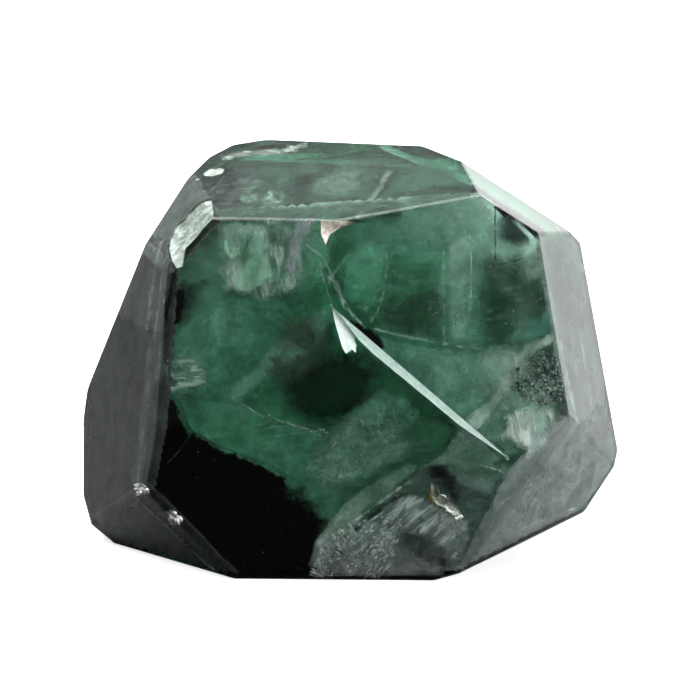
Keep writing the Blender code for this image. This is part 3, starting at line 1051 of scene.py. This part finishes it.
# Name, pattern, depth, width in pixels, strength, colour, line.
THREADS = (
    ("pit_line", "trace", 0.8, 3.0, 0.65, PALE, (306, 245, 322, 256, 330, 271, 337, 289, 346, 311)),
    ("pit_line_left", "trace", 0.9, 2.6, 0.5, MINT, (320, 262, 321, 272, 326, 286, 332, 308)),
    ("oval_line", "trace", 1.0, 4.5, 0.32, MINT, (336, 280, 342, 298, 352, 314, 366, 328)),
    ("oval_side", "trace", 1.1, 4.0, 0.2, MINT, (371, 322, 379, 308, 384, 290, 387, 268, 386, 252)),
    ("oval_top", "trace", 0.9, 4.0, 0.16, MINT, (330, 279, 343, 262, 352, 248)),
    ("column_side", "trace", 1.0, 2.2, 0.9, WHITE, (470, 236, 471, 256, 471, 290, 469, 321)),
    ("column_left", "trace", 1.2, 4.0, 0.4, PALE, (443, 250, 444, 290, 444, 345)),
    ("dark_crack", "trace", 0.6, 2.2, 0.9, BLACK, (495, 205, 495, 232, 496, 261)),
    ("dark_step", "trace", 0.7, 2.0, 0.9, BLACK, (496, 265, 512, 262, 527, 257)),
    ("pale_arc", "trace", 0.9, 4.0, 0.28, PALE, (
     372, 328, 398, 335, 430, 341, 456, 346, 476, 349, 510, 346)),
    ("kite_line", "trace", 1.0, 2.2, 0.9, PALE, (240, 403, 262, 416, 290, 424, 312, 431, 330, 434)),
    ("night_line", "trace", 0.8, 1.8, 0.5, ASH, (190, 435, 178, 452, 167, 464)),
    ("scar_tail", "trace", 0.7, 3.0, 0.8, MINT, (477, 464, 492, 468, 508, 474)),
    ("crown_edge_line", "cloud", 0.7, 8.0, 0.4, MINT, (390, 170, 378, 190, 364, 208, 356, 218)),
    ("ridge_line", "trace", 0.7, 5.0, 0.9, PALE, (
     314, 566, 330, 546, 346, 527, 368, 511, 396, 490, 414, 480)),
    ("ridge_shade", "trace", 0.8, 4.0, 0.9, SMOKE, (330, 560, 346, 540, 364, 522, 388, 504, 408, 490)),
    ("foot_streak", "trace", 0.4, 4.0, 0.8, WHITE, (498, 506, 512, 496, 532, 484)),
    ("foot_streak_low", "trace", 0.4, 3.0, 0.8, WHITE, (500, 540, 540, 520, 576, 508)),
    ("side_stripe_left", "trace", 0.5, 2.4, 0.3, WHITE, (572, 340, 576, 370, 581, 400)),
    ("side_stripe_right", "trace", 0.5, 2.2, 0.25, WHITE, (580, 330, 586, 370, 592, 412)),
    ("left_stripe", "trace", 0.5, 5.0, 0.35, PALE, (163, 236, 156, 262, 150, 300, 147, 330)),
)

# Painted shade and sheen under the rounded edges round the tables, grey and dark bands that stand
# in for the edges' reflections: name, width in pixels, strength, colour, line.
RIM_DEPTH = 0.3
RIMS = (
    ("left_rim", 13.0, 0.85, (0.20, 0.21, 0.21), (171, 252, 162, 300, 152, 370, 144, 430, 138, 488)),
    ("left_foot_rim", 13.0, 0.9, (0.09, 0.09, 0.09), (138, 486, 164, 514, 194, 544, 220, 566)),
    ("crown_rim", 15.0, 0.88, (0.10, 0.19, 0.145), (
     212, 215, 270, 213, 320, 213, 366, 208, 420, 201, 470, 194)),
    ("right_rim", 12.0, 0.6, (0.34, 0.42, 0.38), (540, 236, 548, 290, 556, 330, 564, 380, 573, 418)),
    ("upper_right_rim", 10.0, 0.5, (0.16, 0.22, 0.20), (482, 192, 510, 208, 538, 230)),
    ("right_foot_rim", 12.0, 0.6, (0.42, 0.45, 0.44), (572, 420, 540, 462, 500, 514, 458, 570)),
)

# Name, count, depths, sizes in mm, colour, stretch, turn, outline.
FLECKS = (
    ("kite_flecks", 26, (0.6, 0.9), (0.07, 0.16), WHITE, 1.6, 15.0, (
     262, 414, 290, 421, 328, 431, 328, 437, 290, 427, 262, 419)),
    ("square_flecks", 70, (0.5, 1.6), (0.05, 0.13), PALE, 1.0, 0.0, (
     427, 300, 462, 298, 462, 332, 430, 330)),
    ("patch_flecks", 170, (0.3, 0.9), (0.06, 0.18), PALE, 1.0, 0.0, SPECKLED_PATCH),
    ("night_flecks", 5, (0.3, 1.5), (0.04, 0.09), GREY, 1.5, -60.0, (
     165, 420, 240, 470, 300, 500, 300, 565, 230, 565, 160, 500)),
    ("veil_flecks", 70, (0.4, 1.4), (0.06, 0.18), MINT, 2.0, -60.0, (
     318, 470, 345, 424, 398, 408, 396, 440, 360, 474)),
    ("low_flecks", 110, (0.3, 0.9), (0.07, 0.24), WHITE, 1.8, -40.0, (
     312, 576, 330, 540, 360, 516, 392, 512, 398, 540, 380, 576)),
    ("ridge_flecks", 60, (0.2, 0.6), (0.10, 0.32), WHITE, 2.4, 50.0, (
     310, 576, 316, 556, 336, 532, 352, 522, 352, 534, 336, 556, 322, 576)),
    ("low_middle_flecks", 90, (0.2, 0.7), (0.08, 0.26), WHITE, 2.2, -40.0, (
     364, 578, 372, 540, 388, 514, 404, 520, 396, 550, 384, 578)),
    ("crumbs", 60, ON_SURFACE, (0.12, 0.34), WHITE, 1.2, 0.0, (
     438, 494, 446, 496, 462, 514, 460, 522, 450, 514, 440, 502)),
    ("ochre", 26, ON_SURFACE, (0.10, 0.24), (0.45, 0.26, 0.06), 1.3, 60.0, (
     428, 494, 438, 486, 441, 500, 432, 508)),
    ("left_chip", 46, ON_SURFACE, (0.14, 0.36), WHITE, 1.4, 0.0, (135, 484, 144, 484, 150, 494, 137, 496)),
    ("low_left_chip", 40, ON_SURFACE, (0.14, 0.34), WHITE, 1.8, 80.0, (
     172, 510, 182, 520, 177, 527, 167, 520)),
    ("corner_flecks", 26, (0.2, 0.6), (0.06, 0.16), WHITE, 1.3, 80.0, (
     478, 196, 490, 192, 498, 222, 484, 224)),
    ("star_flecks", 10, (0.3, 0.8), (0.08, 0.2), WHITE, 2.0, 20.0, (
     322, 275, 331, 275, 331, 284, 322, 284)),
    ("step_flecks", 60, (0.4, 2.4), (0.04, 0.11), PALE, 1.8, 5.0, (
     350, 226, 484, 196, 498, 262, 548, 262, 556, 330, 450, 340, 446, 256, 370, 250)),
    ("dust", 240, (0.3, 4.0), (0.025, 0.06), PALE, 1.0, 0.0, (
     150, 480, 170, 264, 214, 220, 340, 220, 480, 197, 536, 234, 566, 416, 510, 468, 456, 572, 230, 570)),
    ("crown_flecks", 40, (0.3, 1.0), (0.04, 0.12), WHITE, 1.4, 60.0, (
     204, 196, 226, 156, 420, 152, 470, 186, 340, 214, 216, 214)),
    ("side_flecks", 18, (0.2, 0.6), (0.04, 0.12), WHITE, 1.2, 80.0, (
     110, 380, 160, 270, 166, 320, 150, 470)),
    ("foot_flecks", 24, (0.2, 0.7), (0.04, 0.12), WHITE, 1.6, -30.0, (
     512, 490, 566, 424, 600, 450, 560, 520)),
)

# Where the outer facets in front face: turn and tilt in degrees.
LEFT, LEFT_FOOT, LEFT_SHOULDER = (173.0, 61.0), (-133.0, 55.5), (137.5, 57.0)
CROWN, RIGHT, RIGHT_FOOT = (94.0, 59.5), (12.0, 60.5), (-33.5, 45.0)

# Sheets under them: name, pattern, facet, depth, strength, colour, and the margin in mm where
# it is not the usual share of the depth. Under the left, crown and right facets the smoke and haze
# sheets are partly real haze and partly painted reflection, the grey and pale sheen of these facets.
# Under the right foot the haze is partly painted light and the base is painted light: they brighten
# it as light through its thin edge would.
OUTER = (
    ("left_smoke_and_sheen", "plain", LEFT, 1.4, 0.95, (0.120, 0.108, 0.113), 0.2),
    ("left_shoulder_smoke_and_sheen", "plain", LEFT_SHOULDER, 1.2, 0.85, ASH, 0.2),
    ("left_shoulder_haze_and_sheen", "cloud", LEFT_SHOULDER, 0.5, 0.26, (0.74, 0.76, 0.76), 0.2),
    ("left_haze_and_sheen", "cloud", LEFT, 0.7, 0.03, LILAC),
    ("left_foot_smoke_and_sheen", "plain", LEFT_FOOT, 1.2, 0.97, (0.25, 0.235, 0.245), 0.2),
    ("crown_haze_and_sheen", "cloud", CROWN, 0.9, 0.08, (0.74, 0.84, 0.79)),
    ("right_smoke_and_sheen", "plain", RIGHT, 1.6, 0.7, ASH),
    ("right_haze_and_sheen", "cloud", RIGHT, 0.8, 0.22, PALE),
    ("right_foot_haze_and_light", "cloud", RIGHT_FOOT, 0.4, 0.95, (0.90, 0.86, 0.90)),
    ("right_foot_painted_light", "plain", RIGHT_FOOT, 1.0, 0.95, (0.80, 0.78, 0.80)),
    ("right_foot_streaks", "feather", RIGHT_FOOT, 0.6, 0.60, WHITE),
)

# Facets at the sides and back: name, turn and tilt, pattern, colour and strength of the patches
# near the surface, colour and depth in mm of the veil behind them.
BEHIND = (
    ("left_side", (-168.5, 120.5), "feather", LILAC, 0.28, SMOKE, 2.4),
    ("left_heel", (-124.0, 121.5), "cloud", GREY, 0.30, SMOKE, 2.0),
    ("right_heel", (-73.0, 99.0), "feather", GREY, 0.40, ASH, 2.6),
    ("right_corner", (-33.5, 104.0), "slant", PALE, 0.40, GREY, 3.4),
    ("right_side", (9.5, 94.0), "feather", PALE, 0.45, GREY, 5.0),
    ("upper_right_side", (58.0, 96.0), "slant", PALE, 0.35, PALE, 4.2),
    ("top", (85.0, 96.0), "cloud", PALE, 0.30, DEEP, 5.2),
    ("crown_corner", (133.5, 102.0), "feather", LILAC, 0.35, ASH, 3.0),
    ("upper_left_side", (151.0, 96.0), "cloud", PALE, 0.35, DEEP, 5.0),
    ("back_table", (-160.0, 171.0), "cloud", MINT, 0.45, DEEP, 7.5),
    ("back_left", (170.0, 136.0), "feather", PALE, 0.50, (0.16, 0.24, 0.20), 2.6),
    ("back_crown", (110.0, 133.0), "slant", PALE, 0.40, MINT, 7.0),
    ("back_upper_right", (52.0, 130.0), "feather", PALE, 0.50, (0.24, 0.32, 0.28), 3.0),
    ("back_right", (0.0, 134.0), "cloud", MINT, 0.50, MINT, 5.6),
    ("back_right_foot", (-50.0, 126.0), "feather", GREY, 0.50, (0.12, 0.17, 0.15), 2.4),
)
PATCH_DEPTH = 0.2
VEIL_STRENGTH = 0.92
VEIL_MARGIN = 0.3


def patches(place):
    """How far in mm a place is inside one of the patches of haze behind the back facets."""
    return 9.0 * (noise.noise(place / (12.0 * MM) + Vector((3.0, 5.0, 1.0))) - 0.05)


def add_veils():
    """Everything inside the stone, and the crumbs in its breaks."""
    for veil in FRONT:
        inner_sheet(*veil)
    for line in THREADS:
        thread(*line)
    # The rims are painted shade and sheen along the rounded edges.
    for name, width, strength, colour, numbers in RIMS:
        thread(name, "cloud", RIM_DEPTH, width, strength, colour, numbers, under=True)
    for shards in FLECKS:
        flecks(*shards)
    ahead = stone_direction(0.0, 0.0)
    broad_sheet("heart", "plain", Vector((0.0, -14.5, 29.5)) * MM, ahead, 1.0, (0.80, 0.93, 0.85), 0.5)
    broad_sheet("back_heart", "cloud", Vector((0.0, 8.0, 27.0)) * MM, ahead, 0.9, (0.78, 0.90, 0.82))
    # The smoke and haze sheets are partly painted reflection; the right foot's haze and base are painted
    # light.
    for haze in OUTER:
        facet_sheet(*haze)
    for name, facet, kind, colour, strength, deep, depth in BEHIND:
        near = PATCH_DEPTH * depth
        facet_sheet(name + "_patches", kind, facet, near, strength, colour, soften=2.0, ragged=0.8,
                    keep=patches)
        facet_sheet(name + "_depth", "plain", facet, depth, VEIL_STRENGTH, deep,
                    VEIL_MARGIN * depth, step=1.2, soften=1.5)


add_camera()
add_floor()
add_world()
for softbox in SOFTBOXES:
    add_softbox(*softbox)
stone_surface()
add_veils()

scene = bpy.context.scene
scene.view_settings.view_transform = "Standard"
scene.cycles.max_bounces = 16
scene.cycles.transmission_bounces = 16
scene.cycles.transparent_max_bounces = 32
scene.cycles.glossy_bounces = 16
scene.cycles.diffuse_bounces = 4
scene.cycles.use_denoising = True
